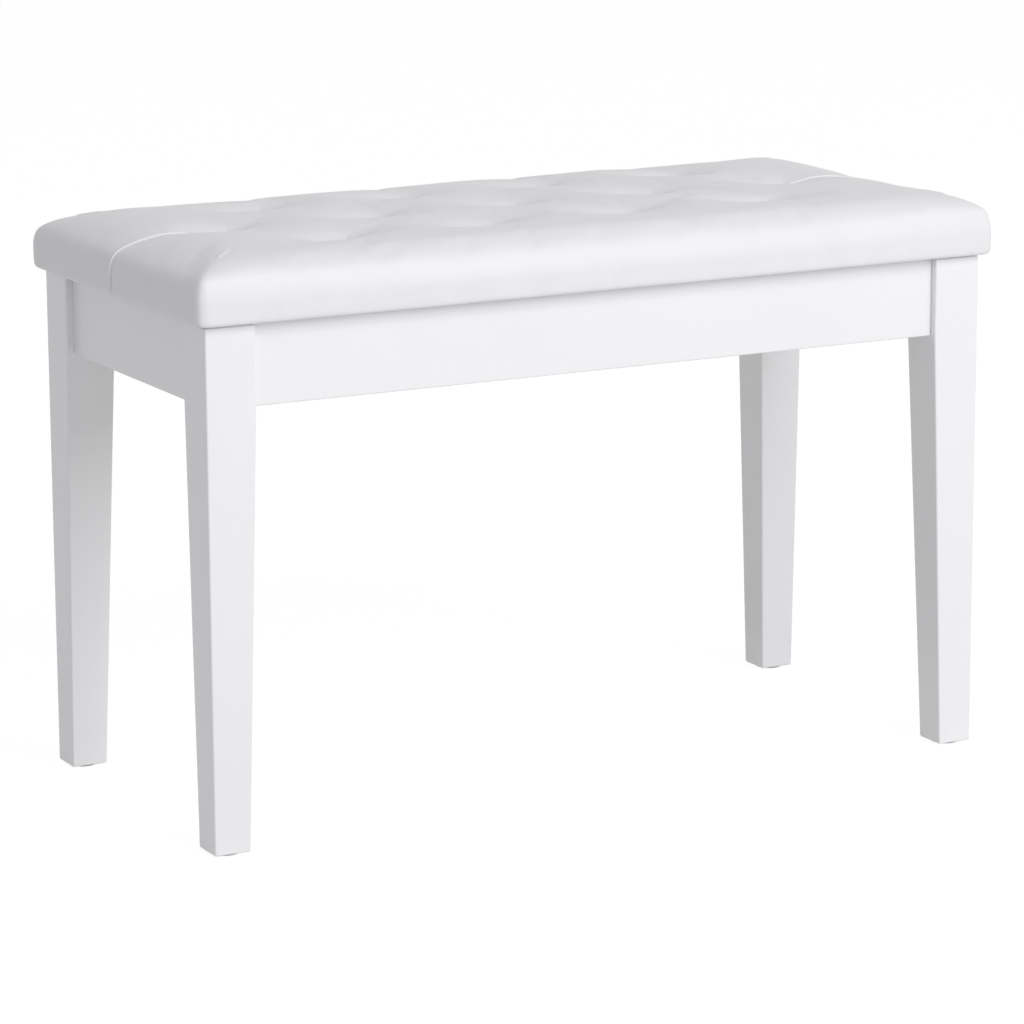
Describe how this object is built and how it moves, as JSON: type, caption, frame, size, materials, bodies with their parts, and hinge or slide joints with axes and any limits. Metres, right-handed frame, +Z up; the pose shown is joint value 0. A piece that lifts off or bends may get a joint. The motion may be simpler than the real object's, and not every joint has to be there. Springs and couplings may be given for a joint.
{
  "type": "piano bench",
  "caption": "Rectangular upholstered bench with a diamond-tufted seat that lifts on a rear hinge over a shallow storage box, on tapered square legs.",
  "frame": {"origin": "on the floor under the middle of the bench", "axes": "+Z up, +X along the bench's length, -Y the front, so the lid's hinge is on the +Y side"},
  "size_m": [0.76, 0.36, 0.494],
  "materials": {
    "painted_wood": "white satin lacquer over solid wood",
    "floor_panel": "white-faced hardboard",
    "raw_wood": "bare plywood and beech",
    "glide_plastic": "moulded, matt",
    "zinc_steel": "zinc plated",
    "hinge_steel": "nickel plated, satin",
    "bumper_rubber": "matt",
    "foam": "open-cell foam",
    "leather": "white, fine grain, satin",
    "lining": "non-woven dust cloth",
    "twine": "waxed upholstery twine"
  },
  "bodies": {
    "frame": {"front_apron": "painted_wood", "back_apron": "painted_wood", "left_end_apron": "painted_wood", "right_end_apron": "painted_wood", "storage_floor": "floor_panel", "leg_front_left": "painted_wood", "leg_front_right": "painted_wood", "leg_back_left": "painted_wood", "leg_back_right": "painted_wood", "glide_front_left": "glide_plastic", "glide_front_right": "glide_plastic", "glide_back_left": "glide_plastic", "glide_back_right": "glide_plastic", "corner_bracket_front_left": "zinc_steel", "corner_bracket_front_right": "zinc_steel", "corner_bracket_back_left": "zinc_steel", "corner_bracket_back_right": "zinc_steel", "hanger_bolts": "zinc_steel", "bolt_washers": "zinc_steel", "bolt_nuts": "zinc_steel", "bracket_screws": "zinc_steel", "apron_dowels": "raw_wood", "lid_bumpers": "bumper_rubber", "hinge_box_leaf_left": "hinge_steel", "hinge_box_leaf_right": "hinge_steel", "hinge_pin_left": "hinge_steel", "hinge_pin_right": "hinge_steel", "hinge_box_screws": "hinge_steel", "stay_box_plate_left": "zinc_steel", "stay_box_plate_right": "zinc_steel", "stay_box_screws": "zinc_steel", "stay_box_rivets": "zinc_steel"},
    "lid": {"lid_board": "raw_wood", "foam_pad": "foam", "seat_cover": "leather", "underside_lining": "lining", "tuft_ties": "twine", "tuft_washers": "zinc_steel", "hinge_lid_leaf_left": "hinge_steel", "hinge_lid_leaf_right": "hinge_steel", "hinge_lid_screws": "hinge_steel", "stay_lid_bracket_left": "zinc_steel", "stay_lid_bracket_right": "zinc_steel", "stay_lid_screws": "zinc_steel", "stay_lid_rivets": "zinc_steel"},
    "stay_lower_left": {"stay_lower_arm_left": "zinc_steel", "stay_elbow_rivet_left": "zinc_steel"},
    "stay_upper_left": {"stay_upper_arm_left": "zinc_steel"},
    "stay_lower_right": {"stay_lower_arm_right": "zinc_steel", "stay_elbow_rivet_right": "zinc_steel"},
    "stay_upper_right": {"stay_upper_arm_right": "zinc_steel"}
  },
  "joints": [
    {"name": "lid_hinge", "type": "hinge", "parent": "frame", "child": "lid", "pos_m": [0, 0.1699, 0.4366], "axis": [-1, 0, 0], "range_deg": [0, 80]},
    {"name": "stay_lower_left_pivot", "type": "hinge", "parent": "frame", "child": "stay_lower_left", "pos_m": [-0.3422, 0.03786, 0.3966], "axis": [-1, 0, 0], "range_deg": [0, 80]},
    {"name": "stay_upper_left_pivot", "type": "hinge", "parent": "lid", "child": "stay_upper_left", "pos_m": [-0.3399, 0.06968, 0.4306], "axis": [-1, 0, 0], "range_deg": [-80, 0]},
    {"name": "stay_lower_right_pivot", "type": "hinge", "parent": "frame", "child": "stay_lower_right", "pos_m": [0.3422, 0.03786, 0.3966], "axis": [-1, 0, 0], "range_deg": [0, 80]},
    {"name": "stay_upper_right_pivot", "type": "hinge", "parent": "lid", "child": "stay_upper_right", "pos_m": [0.3399, 0.06968, 0.4306], "axis": [-1, 0, 0], "range_deg": [-80, 0]}
  ],
  "couplings": [
    {"joint": "stay_lower_left_pivot", "follows": "lid_hinge", "ratio": 1},
    {"joint": "stay_upper_left_pivot", "follows": "lid_hinge", "ratio": -1},
    {"joint": "stay_lower_right_pivot", "follows": "lid_hinge", "ratio": 1},
    {"joint": "stay_upper_right_pivot", "follows": "lid_hinge", "ratio": -1}
  ]
}
